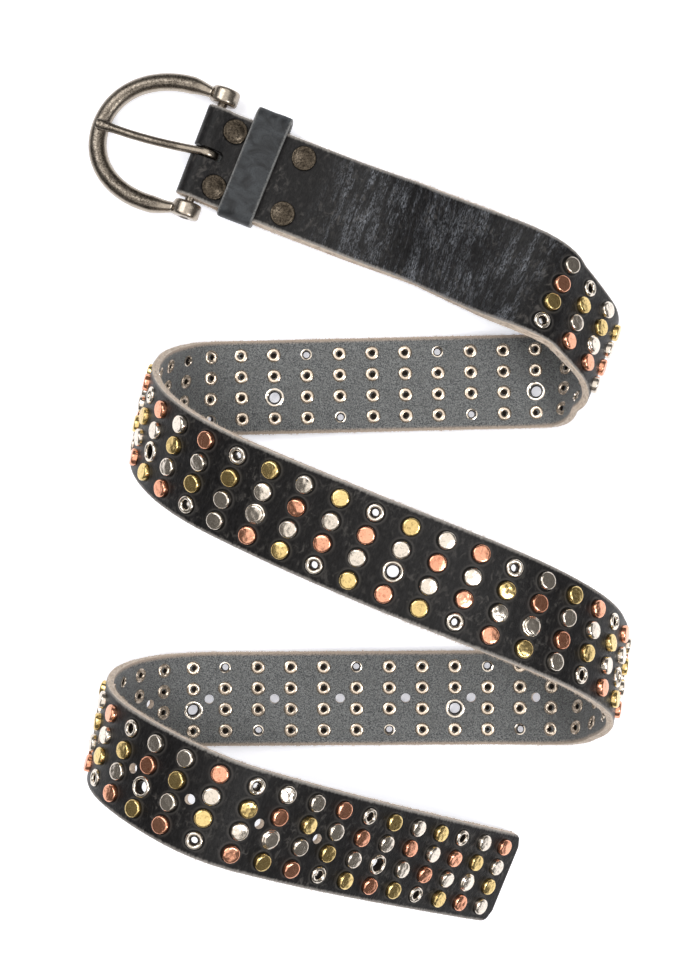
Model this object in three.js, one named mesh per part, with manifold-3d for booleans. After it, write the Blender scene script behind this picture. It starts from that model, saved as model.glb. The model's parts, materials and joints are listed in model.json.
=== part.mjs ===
// A studded leather belt, open and laid down on its side in a loose coil.
// Millimetres, +Z up. The origin is the middle of the underside of the box round the whole belt.
// The strap starts at the buckle, front face up, bends down to the right and runs back to the left
// with its studs on the table, stands up into a tall bend, crosses over, and so on to its tip.

import * as THREE from 'three';
import { mergeVertices } from 'three/addons/utils/BufferGeometryUtils.js';
import Module from 'manifold-3d';

const wasm = await Module();
wasm.setup();

// Leather strap
const strapWidth = 40;
const strapThickness = 3;
const tipMargin = 10;
const tipCorner = 5;
const layGap = 0.3;

// Studs, in columns along the strap and rows across it
const columnCount = 76;
const columnSpacing = 14;
const rowCount = 4;
const rowSpacing = 9;
const studPlate = 9;
const studSides = 6;
const plainStep = 0.75;

// The three sizes of stud: a plain cap, a small eyelet and a large eyelet or rivet
const studShapes = {
  cap: { radius: 3.5, topRadius: 2.3, height: 2.2 },
  eyelet: { radius: 3.3, topRadius: 2.6, height: 2 },
  large: { radius: 4, topRadius: 3.1, height: 2.1 },
};
const largeBore = 2;
const largeRow = 2;

// Punched holes for the prong, on the middle line between two columns
const holeCount = 13;
const firstHoleColumn = 44.5;
const holeStep = 2;
const holeRadius = 2;

// Folded buckle end, measured along the strap from the buckle's pin
const foldClearance = 1;
const foldTaper = 9;
const foldLap = 1;
const underLayerLength = 50;
const layerInset = 0.4;
const slotWidth = 6.6;
const slotReach = 7.8;

// Rivets through the fold
const rivetCapRadius = 5.3;
const rivetCapHeight = 1.6;
const rivetBackRadius = 4.4;
const rivetBackHeight = 1.1;
const rivetShankRadius = 1.6;
const rivetInset = 7.4;
const rivetPairs = [8.4, 40.2];

// Keeper loop
const keeperStart = 14.2;
const keeperWidth = 15.5;
const keeperThickness = 2.5;
const keeperSlack = 4.2;
const keeperHeadroom = 0.6;
const keeperCorner = 4.5;

// Buckle: a horseshoe bow with two eyes, a cross pin and a prong
const barRadius = 3.9;
const bowReach = 46.5;
const bowShoulder = 5.4;
const bowSkew = 3.2;
const bowSides = 10;
const bowSteps = 26;
const neckHeight = 2.6;
const neckWidth = 1.7;
const neckInset = 2;
const eyeRadius = 6.1;
const eyeLength = 7;
const eyeGap = 1.9;
const pinRadius = 2;
const pinProud = 0.4;
const pinClearance = 0.3;
const prongRadius = 1.9;
const prongEyeRadius = 5.8;
const prongRoot = 1;
const prongArch = 0.9;
const prongCrest = 0.6;
const prongDip = 0.2;
const prongSway = 1.4;
const prongOverhang = 2.4;
const prongTipHeight = 1.4;
const prongTipWidth = 2.3;
const restGap = 0.3;

// How the buckle lies: turned in the strap's plane, and dropped to the table, in degrees
const bowSwing = 2;
const bowDrop = 2.7;

// How the strap lies, from the buckle's pin to the last column. Lengths are counted in columns of
// studs. Turn is the bend towards the inner face and twist the roll about the length, in degrees.
const stretches = [
  { where: 'buckle end, flat', columns: 4.5, turn: 0, twist: 0 },
  { where: 'lifting', columns: 3, turn: -46, twist: 18 },
  { where: 'lifting', columns: 2.5, turn: 4, twist: -7 },
  { where: 'first right bend', columns: 1.5, turn: 18, twist: -16 },
  { where: 'first right bend', columns: 1.5, turn: 59, twist: -24 },
  { where: 'first right bend', columns: 1.5, turn: 5, twist: -2 },
  { where: 'first right bend', columns: 2, turn: 65, twist: 2 },
  { where: 'first right bend', columns: 1.5, turn: 38, twist: -33 },
  { where: 'landing', columns: 1, turn: 27, twist: -5 },
  { where: 'back on the table, to the anchor', columns: 4.5, turn: 0, twist: 0 },
  { where: 'back on the table, from the anchor', columns: 4, turn: 0, twist: 0 },
  { where: 'first left bend', columns: 2, turn: 51, twist: -20 },
  { where: 'first left bend', columns: 2, turn: 31, twist: -8 },
  { where: 'first left bend', columns: 3, turn: 38, twist: -2 },
  { where: 'first left bend', columns: 3, turn: 37, twist: -4 },
  { where: 'front, crossing over', columns: 4, turn: 11, twist: -10 },
  { where: 'front, crossing over', columns: 4, turn: 18, twist: -15 },
  { where: 'second right bend', columns: 2.5, turn: 22, twist: -9 },
  { where: 'second right bend', columns: 2.5, turn: 30, twist: -7 },
  { where: 'second right bend', columns: 3, turn: 38, twist: 3 },
  { where: 'second right bend', columns: 2, turn: 47, twist: -16 },
  { where: 'landing', columns: 2, turn: 25, twist: -11 },
  { where: 'back on the table', columns: 8.25, turn: 0, twist: 0 },
  { where: 'second left bend', columns: 2.5, turn: 50, twist: -9 },
  { where: 'second left bend', columns: 2.5, turn: 38, twist: -9 },
  { where: 'second left bend', columns: 2.5, turn: 43, twist: -6 },
  { where: 'second left bend', columns: 2.5, turn: 23, twist: -7 },
  { where: 'crest of the last stretch', columns: 2, turn: 54, twist: -4 },
  { where: 'going down to the tip', columns: 4, turn: 10, twist: 1 },
  { where: 'going down to the tip', columns: 6, turn: 4, twist: 1 },
];
const firstColumnFromPin = 12.5;
const anchorStretch = 10;
const walkSteps = 12;

// A repeat of sixteen columns of studs, top row first: n nickel, c copper and b brass caps,
// e small eyelet, E large eyelet, R large rivet. Column 1 of the strap is the repeat's column 12.
const studRepeat = [
  'ebnc', 'cneb', 'nbnc', 'cnbe', 'ebnn', 'bnrc', 'ncnb', 'bnce',
  'ecnb', 'bnec', 'ncnb', 'cnce', 'ebnc', 'ncrb', 'bncn', 'cnbe',
];
const repeatStart = 22;

// Leather and metal colours
const leather = { color: 0x1c1d20, roughness: 0.55, metalness: 0 };
const wornLeather = { color: 0x4b4e55, roughness: 0.7, metalness: 0 };
const oldSilver = { color: 0x8a8378, roughness: 0.38, metalness: 1 };
const darkNickel = { color: 0x6a6258, roughness: 0.42, metalness: 1 };

// Basic solids

function solidOf(geometry) {
  const bare = geometry.clone();
  bare.deleteAttribute('normal');
  bare.deleteAttribute('uv');
  const merged = mergeVertices(bare, 1e-4);
  const mesh = new wasm.Mesh({
    numProp: 3,
    vertProperties: new Float32Array(merged.attributes.position.array),
    triVerts: new Uint32Array(merged.index.array),
  });
  return new wasm.Manifold(mesh);
}

function geometryOf(solid) {
  const mesh = solid.getMesh();
  const geometry = new THREE.BufferGeometry();
  geometry.setAttribute('position', new THREE.BufferAttribute(mesh.vertProperties, 3));
  geometry.setIndex(new THREE.BufferAttribute(mesh.triVerts, 1));
  geometry.computeVertexNormals();
  return geometry;
}

// A closed skin over a row of rings, each ring a list of points in the same order
function skinOver(rings) {
  const count = rings[0].length;
  const points = [];
  for (const ring of rings) {
    for (const point of ring) {
      points.push(point.x, point.y, point.z);
    }
  }
  const faces = [];
  for (let row = 0; row + 1 < rings.length; row += 1) {
    for (let i = 0; i < count; i += 1) {
      const a = row * count + i;
      const b = row * count + (i + 1) % count;
      faces.push(a, b, b + count, a, b + count, a + count);
    }
  }
  const last = (rings.length - 1) * count;
  for (let i = 1; i + 1 < count; i += 1) {
    faces.push(0, i + 1, i);
    faces.push(last, last + i, last + i + 1);
  }
  const geometry = new THREE.BufferGeometry();
  geometry.setAttribute('position', new THREE.BufferAttribute(new Float32Array(points), 3));
  geometry.setIndex(faces);
  return geometry;
}

// An upright cylinder along local Y, with its foot at the given height
function uprightCylinder(radius, topRadius, foot, top, sides) {
  const geometry = new THREE.CylinderGeometry(topRadius, radius, top - foot, sides);
  geometry.rotateY(Math.PI / sides);
  geometry.translate(0, (foot + top) / 2, 0);
  return geometry;
}

// A cylinder along local Z, centred on a point
function crossCylinder(radius, length, z, sides) {
  const geometry = new THREE.CylinderGeometry(radius, radius, length, sides);
  geometry.rotateX(Math.PI / 2);
  geometry.translate(0, 0, z);
  return geometry;
}

function named(name, geometry, look) {
  const mesh = new THREE.Mesh(geometry, new THREE.MeshStandardMaterial(look));
  mesh.name = name;
  return mesh;
}

// The strap's path. A frame's local X runs along the strap, Y out of its front face and Z across
// it from the first row to the last. The anchor is where the strap lies flat on its studs.

function stepAlong(frame, columns, turn, twist) {
  const bend = new THREE.Vector3(twist, 0, -turn).multiplyScalar(Math.PI / 180 / walkSteps);
  const angle = bend.length();
  const half = new THREE.Quaternion();
  if (angle > 0) {
    half.setFromAxisAngle(bend.normalize(), angle / 2);
  }
  const position = frame.position.clone();
  const turned = frame.turned.clone();
  const pace = columns * columnSpacing / walkSteps;
  for (let i = 0; i < walkSteps; i += 1) {
    turned.multiply(half);
    position.add(new THREE.Vector3(pace, 0, 0).applyQuaternion(turned));
    turned.multiply(half);
  }
  return { position, turned };
}

function layStrap() {
  const starts = [];
  const lying = new THREE.Matrix4().makeBasis(
    new THREE.Vector3(-1, 0, 0),
    new THREE.Vector3(0, 0, -1),
    new THREE.Vector3(0, -1, 0),
  );
  starts[anchorStretch] = {
    position: new THREE.Vector3(0, 0, studShapes.cap.height + strapThickness / 2),
    turned: new THREE.Quaternion().setFromRotationMatrix(lying),
  };
  for (let i = anchorStretch; i < stretches.length; i += 1) {
    const { columns, turn, twist } = stretches[i];
    starts[i + 1] = stepAlong(starts[i], columns, turn, twist);
  }
  for (let i = anchorStretch - 1; i >= 0; i -= 1) {
    const { columns, turn, twist } = stretches[i];
    starts[i] = stepAlong(starts[i + 1], -columns, -turn, -twist);
  }
  return starts;
}

const stretchStarts = layStrap();

// The frame at a place along the strap, counted in columns from the pin
function frameAt(place) {
  let i = 0;
  let start = 0;
  while (i + 1 < stretches.length && place > start + stretches[i].columns) {
    start += stretches[i].columns;
    i += 1;
  }
  const { columns, turn, twist } = stretches[i];
  const share = (place - start) / columns;
  return stepAlong(stretchStarts[i], place - start, turn * share, twist * share);
}

function frameAtColumn(column) {
  return frameAt(firstColumnFromPin + column - 1);
}

// A point of a frame: along the strap, out of the front face and across
function pointIn(frame, along, out, across) {
  return new THREE.Vector3(along, out, across).applyQuaternion(frame.turned).add(frame.position);
}

function matrixOf(frame) {
  return new THREE.Matrix4().compose(frame.position, frame.turned, new THREE.Vector3(1, 1, 1));
}

// Strap: one strip of leather. It is flat under each column of studs and bends between them.

function stripRing(frame, along, halfWidth) {
  const half = strapThickness / 2;
  return [
    pointIn(frame, along, half, -halfWidth),
    pointIn(frame, along, half, halfWidth),
    pointIn(frame, along, -half, halfWidth),
    pointIn(frame, along, -half, -halfWidth),
  ];
}

// The stud at a column and row: its letter in the repeat, and its shape
function studLetter(column, row) {
  const length = studRepeat.length;
  const place = ((column - repeatStart) % length + length) % length;
  return studRepeat[place][row];
}

function isLarge(column, row) {
  return row === largeRow && column % 4 === 3;
}

function hasBore(column, row) {
  return isLarge(column, row) && column % 8 === 7;
}

function studShape(column, row) {
  if (isLarge(column, row)) {
    return studShapes.large;
  }
  return studLetter(column, row) === 'e' ? studShapes.eyelet : studShapes.cap;
}

function acrossOfRow(row) {
  return (row - (rowCount - 1) / 2) * rowSpacing;
}

function studRing(frame, radius, out, across) {
  const ring = [];
  for (let i = 0; i < studSides; i += 1) {
    const angle = (i + 0.5) * 2 * Math.PI / studSides;
    ring.push(pointIn(frame, radius * Math.cos(angle), out, across + radius * Math.sin(angle)));
  }
  return ring;
}

// The front face of one column's plate: leather with an opening at the foot of each stud, and the
// studs standing on those openings as low drums, so that leather and studs are one skin
function studdedFace(frame, column, corners) {
  const triangles = [];
  const half = strapThickness / 2;
  const flat = (point) => {
    const local = point.clone().sub(frame.position).applyQuaternion(frame.turned.clone().invert());
    return new THREE.Vector2(local.x, local.z);
  };
  const feet = [];
  for (let row = 0; row < rowCount; row += 1) {
    const { radius, topRadius, height } = studShape(column, row);
    const across = acrossOfRow(row);
    const foot = studRing(frame, radius, half, across);
    const top = studRing(frame, topRadius, half + height, across);
    feet.push(foot);
    for (let i = 0; i < studSides; i += 1) {
      const next = (i + 1) % studSides;
      triangles.push([foot[i], top[next], foot[next]], [foot[i], top[i], top[next]]);
      if (i > 0 && next > 0) {
        triangles.push([top[0], top[next], top[i]]);
      }
    }
  }
  const points = [...corners, ...feet.flat()];
  const faces = THREE.ShapeUtils.triangulateShape(corners.map(flat), feet.map((foot) => foot.map(flat)));
  for (const [a, b, c] of faces) {
    const [p, q, r] = [flat(points[a]), flat(points[b]), flat(points[c])];
    const facesOut = q.sub(p).cross(r.sub(p)) < 0;
    triangles.push(facesOut ? [points[a], points[b], points[c]] : [points[a], points[c], points[b]]);
  }
  return triangles;
}

function leatherStrip() {
  const halfWidth = strapWidth / 2;
  const rings = [];
  const plates = new Map();
  for (let place = foldTaper / columnSpacing; place < firstColumnFromPin - 0.6; place += plainStep) {
    rings.push(stripRing(frameAt(place), 0, halfWidth));
  }
  for (let column = 1; column <= columnCount; column += 1) {
    const frame = frameAtColumn(column);
    plates.set(rings.length, { frame, column });
    rings.push(stripRing(frame, -studPlate / 2, halfWidth));
    rings.push(stripRing(frame, studPlate / 2, halfWidth));
  }
  const end = frameAtColumn(columnCount);
  for (const angle of [0, 45, 90]) {
    const turn = THREE.MathUtils.degToRad(angle);
    const along = tipMargin - tipCorner * (1 - Math.sin(turn));
    rings.push(stripRing(end, along, halfWidth - tipCorner * (1 - Math.cos(turn))));
  }
  const triangles = [];
  for (let i = 0; i + 1 < rings.length; i += 1) {
    const [here, there] = [rings[i], rings[i + 1]];
    for (let side = 0; side < 4; side += 1) {
      const [a, b, c, d] = [here[side], here[(side + 1) % 4], there[(side + 1) % 4], there[side]];
      if (side === 0 && plates.has(i)) {
        const { frame, column } = plates.get(i);
        triangles.push(...studdedFace(frame, column, [a, b, c, d]));
      } else {
        triangles.push([a, b, c], [a, c, d]);
      }
    }
  }
  const [first, last] = [rings[0], rings[rings.length - 1]];
  triangles.push([first[0], first[2], first[1]], [first[0], first[3], first[2]]);
  triangles.push([last[0], last[1], last[2]], [last[0], last[2], last[3]]);
  const geometry = new THREE.BufferGeometry().setFromPoints(triangles.flat());
  return solidOf(geometry);
}

function placedAt(solid, frame) {
  return solid.transform(matrixOf(frame).elements);
}

// Folded end, in the buckle's own frame: X along the strap from the pin, Y up and Z across.
// The leather goes round the pin and comes back under itself; a slot lets the prong through.
function foldedEnd() {
  const bend = pinRadius + foldClearance + strapThickness;
  const width = strapWidth - 2 * layerInset;
  const outline = new THREE.Shape();
  outline.moveTo(underLayerLength, -strapThickness);
  outline.lineTo(underLayerLength, layerInset);
  outline.lineTo(foldTaper + foldLap, layerInset);
  outline.lineTo(foldTaper + foldLap, strapThickness - 2 * layerInset);
  outline.lineTo(foldTaper, strapThickness - layerInset / 2);
  outline.lineTo(bend * Math.sin(0.3), bend * Math.cos(0.3));
  outline.absarc(0, 0, bend, Math.PI / 2 - 0.3, 1.5 * Math.PI + 0.3, false);
  outline.lineTo(foldTaper, -strapThickness);
  outline.closePath();
  const bore = new THREE.Path();
  bore.absarc(0, 0, pinRadius + foldClearance, 0, 2 * Math.PI, true);
  outline.holes.push(bore);
  const geometry = new THREE.ExtrudeGeometry(outline, {
    depth: width,
    bevelEnabled: false,
    curveSegments: 14,
  });
  geometry.translate(0, 0, -width / 2);
  const slot = new THREE.BoxGeometry(slotReach + 2 * bend, 4 * bend, slotWidth);
  slot.translate(slotReach - (slotReach + 2 * bend) / 2, 0, 0);
  return solidOf(geometry).subtract(solidOf(slot));
}

// Room for one rivet in the leather: its shank's hole and a seat for each cap
function rivetRoom() {
  const top = strapThickness;
  const room = 4 * strapThickness;
  const shank = uprightCylinder(rivetShankRadius + layGap, rivetShankRadius + layGap, -room, room, 8);
  const seat = uprightCylinder(rivetCapRadius + layGap, rivetCapRadius + layGap, top, room, 12);
  const back = uprightCylinder(rivetBackRadius + layGap, rivetBackRadius + layGap, -room, -top, 12);
  return solidOf(shank).add(solidOf(seat)).add(solidOf(back));
}

const rivetRow = strapWidth / 2 - rivetInset;
const rivetPlaces = rivetPairs.flatMap((along) => [[along, -rivetRow], [along, rivetRow]]);

// The pin's frame: the strap's first frame, lowered to where the two layers meet
const pinFrame = {
  position: pointIn(stretchStarts[0], 0, -strapThickness / 2, 0),
  turned: stretchStarts[0].turned,
};

function strapSolid() {
  let strap = leatherStrip().add(placedAt(foldedEnd(), pinFrame));
  const seat = rivetRoom();
  for (const [along, across] of rivetPlaces) {
    const local = seat.translate([along, 0, across]);
    strap = strap.subtract(placedAt(local, pinFrame));
  }
  const through = 2 * strapThickness;
  const bore = solidOf(uprightCylinder(largeBore, largeBore, -through, through, studSides));
  for (let column = 1; column <= columnCount; column += 1) {
    if (hasBore(column, largeRow)) {
      const local = bore.translate([0, 0, acrossOfRow(largeRow)]);
      strap = strap.subtract(placedAt(local, frameAtColumn(column)));
    }
  }
  const punch = solidOf(uprightCylinder(holeRadius, holeRadius, -through, through, studSides));
  for (let i = 0; i < holeCount; i += 1) {
    strap = strap.subtract(placedAt(punch, frameAtColumn(firstHoleColumn + i * holeStep)));
  }
  return strap;
}

// Keeper: a loop of leather band round both layers, with its slack on the first row's side
function keeperGeometry() {
  const across = strapWidth / 2;
  const inner = {
    left: -across - keeperSlack,
    right: across + layGap,
    low: -strapThickness - layGap,
    high: strapThickness + keeperHeadroom,
  };
  const loopOutline = (grow, corner) => {
    const left = inner.left - grow;
    const right = inner.right + grow;
    const low = inner.low - grow;
    const high = inner.high + grow;
    return { left, right, low, high, corner };
  };
  const draw = (path, box) => {
    const { left, right, low, high, corner } = box;
    path.moveTo(left + corner, low);
    path.lineTo(right - corner, low);
    path.absarc(right - corner, low + corner, corner, -Math.PI / 2, 0, false);
    path.lineTo(right, high - corner);
    path.absarc(right - corner, high - corner, corner, 0, Math.PI / 2, false);
    path.lineTo(left + corner, high);
    path.absarc(left + corner, high - corner, corner, Math.PI / 2, Math.PI, false);
    path.lineTo(left, low + corner);
    path.absarc(left + corner, low + corner, corner, Math.PI, 1.5 * Math.PI, false);
    return path;
  };
  const outline = draw(new THREE.Shape(), loopOutline(keeperThickness, keeperCorner));
  outline.holes.push(draw(new THREE.Path(), loopOutline(0, layGap)));
  const geometry = new THREE.ExtrudeGeometry(outline, {
    depth: keeperWidth,
    bevelEnabled: false,
    curveSegments: 3,
  });
  geometry.rotateY(-Math.PI / 2);
  geometry.translate(keeperStart + keeperWidth, 0, 0);
  return geometry;
}

// Rivet: a low domed cap on top, a shank through both layers and a flat cap behind
function rivetGeometry() {
  const seat = strapThickness + layGap;
  const profile = [
    [0, -seat - rivetBackHeight],
    [rivetBackRadius - 0.6, -seat - rivetBackHeight],
    [rivetBackRadius, -seat - 0.3],
    [rivetBackRadius, -seat],
    [rivetShankRadius, -seat],
    [rivetShankRadius, seat],
    [rivetCapRadius, seat],
    [rivetCapRadius, seat + rivetCapHeight * 0.35],
    [rivetCapRadius * 0.86, seat + rivetCapHeight * 0.8],
    [rivetCapRadius * 0.45, seat + rivetCapHeight],
    [0, seat + rivetCapHeight],
  ];
  return new THREE.LatheGeometry(profile.map(([radius, height]) => new THREE.Vector2(radius, height)), 11);
}

// Bow: half a horseshoe from the eye to the apex, mirrored. X is along the strap, Z across. The
// bow and the prong lean a little towards the last row, more the further they reach.
const eyeMiddle = strapWidth / 2 + eyeGap + eyeLength / 2;

function leaned(point) {
  point.z -= bowSkew * point.x / bowReach;
  return point;
}

function ellipseRing(middle, sideways, halfHeight, halfWidth, sides) {
  const ring = [];
  for (let i = 0; i < sides; i += 1) {
    const angle = (i + 0.5) * 2 * Math.PI / sides;
    const offset = sideways.clone().multiplyScalar(halfWidth * Math.cos(angle));
    offset.y += halfHeight * Math.sin(angle);
    ring.push(middle.clone().add(offset));
  }
  return ring;
}

function bowSolid() {
  const half = new THREE.CubicBezierCurve3(
    new THREE.Vector3(-eyeRadius + neckInset, 0, eyeMiddle),
    new THREE.Vector3(-0.54 * bowReach, 0, eyeMiddle + bowShoulder),
    new THREE.Vector3(-bowReach, 0, 0.8 * eyeMiddle),
    new THREE.Vector3(-bowReach, 0, 0),
  );
  const rings = [];
  for (let i = 0; i <= bowSteps; i += 1) {
    const share = 2 * i / bowSteps;
    const mirror = share > 1;
    const u = mirror ? 2 - share : share;
    const middle = half.getPointAt(u);
    const along = half.getTangentAt(u);
    if (mirror) {
      middle.z *= -1;
      along.z *= -1;
      along.negate();
    }
    const sideways = new THREE.Vector3(0, 1, 0).cross(along).normalize();
    const thick = THREE.MathUtils.smoothstep(u, 0.06, 0.26);
    const halfHeight = THREE.MathUtils.lerp(neckHeight, barRadius, thick);
    const halfWidth = THREE.MathUtils.lerp(neckWidth, barRadius, thick);
    rings.push(ellipseRing(leaned(middle), sideways, halfHeight, halfWidth, bowSides));
  }
  let bow = solidOf(skinOver(rings));
  for (const side of [-1, 1]) {
    bow = bow.add(solidOf(crossCylinder(eyeRadius, eyeLength, side * eyeMiddle, 18)));
  }
  const bore = crossCylinder(pinRadius + pinClearance, 4 * eyeMiddle, 0, 14);
  return bow.subtract(solidOf(bore));
}

// Prong: an eye round the pin and a bar that lies on the bow's apex, bent a little sideways and
// flattened at its tip
function prongSolid() {
  const rise = prongEyeRadius - prongRadius;
  const landing = barRadius + restGap + prongTipHeight;
  const line = new THREE.CatmullRomCurve3([
    new THREE.Vector3(prongRoot, rise, 0),
    new THREE.Vector3(-0.2 * bowReach, rise + prongArch, 0),
    new THREE.Vector3(-0.6 * bowReach, landing + prongCrest, 0),
    new THREE.Vector3(-bowReach, landing, 0),
    new THREE.Vector3(-bowReach - prongOverhang, landing - prongDip, 0),
  ]);
  const steps = 14;
  const rings = [];
  for (let i = 0; i <= steps; i += 1) {
    const u = i / steps;
    const flat = THREE.MathUtils.smoothstep(u, 0.82, 0.95);
    const end = u > 0.97 ? 0.55 : 1;
    const halfHeight = end * THREE.MathUtils.lerp(prongRadius, prongTipHeight, flat);
    const halfWidth = end * THREE.MathUtils.lerp(prongRadius, prongTipWidth, flat);
    const middle = leaned(line.getPointAt(u));
    middle.z += prongSway * Math.sin(Math.PI * u);
    rings.push(ellipseRing(middle, new THREE.Vector3(0, 0, 1), halfHeight, halfWidth, bowSides));
  }
  const eye = solidOf(crossCylinder(prongEyeRadius, 2 * prongRadius, 0, 18));
  const bore = solidOf(crossCylinder(pinRadius + pinClearance, 4 * prongRadius, 0, 14));
  return solidOf(skinOver(rings)).add(eye).subtract(bore);
}

// Assembly

const belt = new THREE.Group();
belt.add(named('strap', geometryOf(strapSolid()), leather));

const buckleEnd = new THREE.Group();
buckleEnd.position.copy(pinFrame.position);
buckleEnd.quaternion.copy(pinFrame.turned);
belt.add(buckleEnd);

buckleEnd.add(named('keeper', keeperGeometry(), wornLeather));
rivetPlaces.forEach(([along, across], i) => {
  const rivet = named(`rivet_${i + 1}`, rivetGeometry(), darkNickel);
  rivet.position.set(along, 0, across);
  buckleEnd.add(rivet);
});

const buckle = new THREE.Group();
buckle.rotation.set(0, THREE.MathUtils.degToRad(bowSwing), THREE.MathUtils.degToRad(bowDrop));
buckleEnd.add(buckle);

const pinLength = 2 * (eyeMiddle + eyeLength / 2 + pinProud);
buckle.add(named('bow', geometryOf(bowSolid()), oldSilver));
buckle.add(named('pin', crossCylinder(pinRadius, pinLength, 0, 16), oldSilver));
buckle.add(named('prong', geometryOf(prongSolid()), oldSilver));

belt.updateMatrixWorld(true);
const box = new THREE.Box3().setFromObject(belt, true);
const middle = box.getCenter(new THREE.Vector3());
belt.position.set(-middle.x, -middle.y, -box.min.z);
belt.updateMatrixWorld(true);

export default belt;
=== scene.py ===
# A studded leather belt, open and lying in a loose coil, seen from straight above.
# Each piece is modelled flat, as it comes off the bench, in millimetres: X along the strap from the
# buckle's pin, Y across it with the first row of studs on top, Z out of the front face. The finished
# pieces are then laid along the strap's path, in metres, where the frame has them.

import json
import math
import random

import bpy
import numpy as np
from mathutils import Euler, Matrix, Quaternion, Vector, noise


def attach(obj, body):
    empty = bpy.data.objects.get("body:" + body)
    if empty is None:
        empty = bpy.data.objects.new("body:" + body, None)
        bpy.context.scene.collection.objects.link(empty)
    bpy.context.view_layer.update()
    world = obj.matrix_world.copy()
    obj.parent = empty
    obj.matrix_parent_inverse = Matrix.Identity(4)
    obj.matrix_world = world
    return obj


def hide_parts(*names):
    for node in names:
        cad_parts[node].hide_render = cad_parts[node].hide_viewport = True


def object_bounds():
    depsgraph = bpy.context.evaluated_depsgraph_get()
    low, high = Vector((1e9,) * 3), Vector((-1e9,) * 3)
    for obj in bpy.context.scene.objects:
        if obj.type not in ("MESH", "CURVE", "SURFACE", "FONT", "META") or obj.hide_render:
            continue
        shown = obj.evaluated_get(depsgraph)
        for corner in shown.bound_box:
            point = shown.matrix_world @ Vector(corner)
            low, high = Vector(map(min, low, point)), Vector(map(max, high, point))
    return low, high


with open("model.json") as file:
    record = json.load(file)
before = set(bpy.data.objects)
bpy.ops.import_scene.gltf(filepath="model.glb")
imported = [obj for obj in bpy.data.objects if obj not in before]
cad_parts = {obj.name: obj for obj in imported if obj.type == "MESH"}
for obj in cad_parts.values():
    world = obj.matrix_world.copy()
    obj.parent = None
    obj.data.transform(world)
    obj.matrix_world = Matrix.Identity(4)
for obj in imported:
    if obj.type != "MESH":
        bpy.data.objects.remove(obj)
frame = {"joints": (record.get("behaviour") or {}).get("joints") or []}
cad_box = [list(corner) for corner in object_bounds()]
bpy.ops.object.select_all(action="DESELECT")

MM = 0.001


# Camera. It looks straight down from 815 mm above the table, turned a little in the frame, and
# stands at a place measured from the buckle's pin.
camera_height = 815
camera_from_pin = (58.3, -144.9)
camera_turn = -1.3
lens_mm = 69.65

hinge_place = Vector(frame["joints"][0]["pos_m"])
camera_place = hinge_place + Vector((*camera_from_pin, 0)) * MM
camera_place.z = camera_height * MM
bpy.ops.object.camera_add(location=camera_place, rotation=(0, 0, math.radians(camera_turn)))
camera = bpy.context.object
camera.data.lens = lens_mm
camera.data.sensor_width = 36
camera.data.clip_start = 0.01
bpy.context.scene.camera = camera


# Table and light. A white light table, a soft lamp up left of the camera and a smaller one down right,
# and a room that is dim but for a broad pale panel overhead. Flat stud caps mirror either the panel or
# the dim room, or half of each where the panel's edge falls on them.
table_size = 6
table_glow = 0.5
lamps = [
    {"place": (-0.55, 0.45, 0.95), "size": (0.6, 0.8), "watts": 5},
    {"place": (0.5, -0.3, 0.8), "size": (0.25, 0.35), "watts": 3.5},
]
panel_reach = (0.52, 0.6)
panel_light = 1.4
room_share = 0.12


def srgb(code):
    """A linear colour from an sRGB hex value."""
    values = [int(code[i:i + 2], 16) / 255 for i in (1, 3, 5)]
    return [v / 12.92 if v <= 0.04045 else ((v + 0.055) / 1.055) ** 2.4 for v in values] + [1]


def add_node(tree, kind, settings):
    """A node with its settings: a link where the value is a socket, otherwise a property or an input."""
    node = tree.nodes.new(kind)
    for key, value in settings.items():
        if isinstance(value, bpy.types.NodeSocket):
            tree.links.new(value, node.inputs[key])
        elif isinstance(key, str) and hasattr(node, key):
            setattr(node, key, value)
        else:
            node.inputs[key].default_value = value
    return node.outputs


def new_finish(name, shader):
    """An empty material with one glossy shader, and its tree and the shader's node."""
    material = bpy.data.materials.new(name)
    material.use_nodes = True
    tree = material.node_tree
    tree.nodes.clear()
    surface = add_node(tree, "ShaderNodeBsdfPrincipled", shader)
    add_node(tree, "ShaderNodeOutputMaterial", {"Surface": surface[0]})
    return material, tree, surface[0].node


for lamp in lamps:
    lamp_place = Vector(lamp["place"])
    lamp_aim = (-lamp_place).to_track_quat("-Z", "Y").to_euler()
    bpy.ops.object.light_add(type="AREA", location=lamp_place, rotation=lamp_aim)
    light = bpy.context.object
    light.data.shape = "RECTANGLE"
    light.data.size, light.data.size_y = lamp["size"]
    light.data.energy = lamp["watts"]

world = bpy.data.worlds.new("room_with_a_pale_panel")
world.use_nodes = True
tree = world.node_tree
way_up = add_node(tree, "ShaderNodeTexCoord", {})["Generated"]
ways = add_node(tree, "ShaderNodeSeparateXYZ", {0: way_up})
inside = [
    add_node(tree, "ShaderNodeMapRange", {
        "interpolation_type": "SMOOTHSTEP",
        "Value": add_node(tree, "ShaderNodeMath", {"operation": "ABSOLUTE", 0: ways[axis]})[0],
        "From Min": reach - 0.02, "From Max": reach + 0.02, "To Min": 1.0, "To Max": 0.0,
    })[0]
    for axis, reach in enumerate(panel_reach)
]
above = add_node(tree, "ShaderNodeMath", {"operation": "GREATER_THAN", 0: ways["Z"], 1: 0.0})[0]
panel = add_node(tree, "ShaderNodeMath", {"operation": "MULTIPLY", 0: inside[0], 1: inside[1]})[0]
panel = add_node(tree, "ShaderNodeMath", {"operation": "MULTIPLY", 0: panel, 1: above})[0]
room_light = add_node(tree, "ShaderNodeMapRange", {
    "Value": panel, "To Min": panel_light * room_share, "To Max": panel_light
})[0]
tree.nodes["Background"].inputs["Color"].default_value = srgb("#fbf8f4")
tree.links.new(room_light, tree.nodes["Background"].inputs["Strength"])
bpy.context.scene.world = world
bpy.context.scene.view_settings.view_transform = "Standard"

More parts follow.
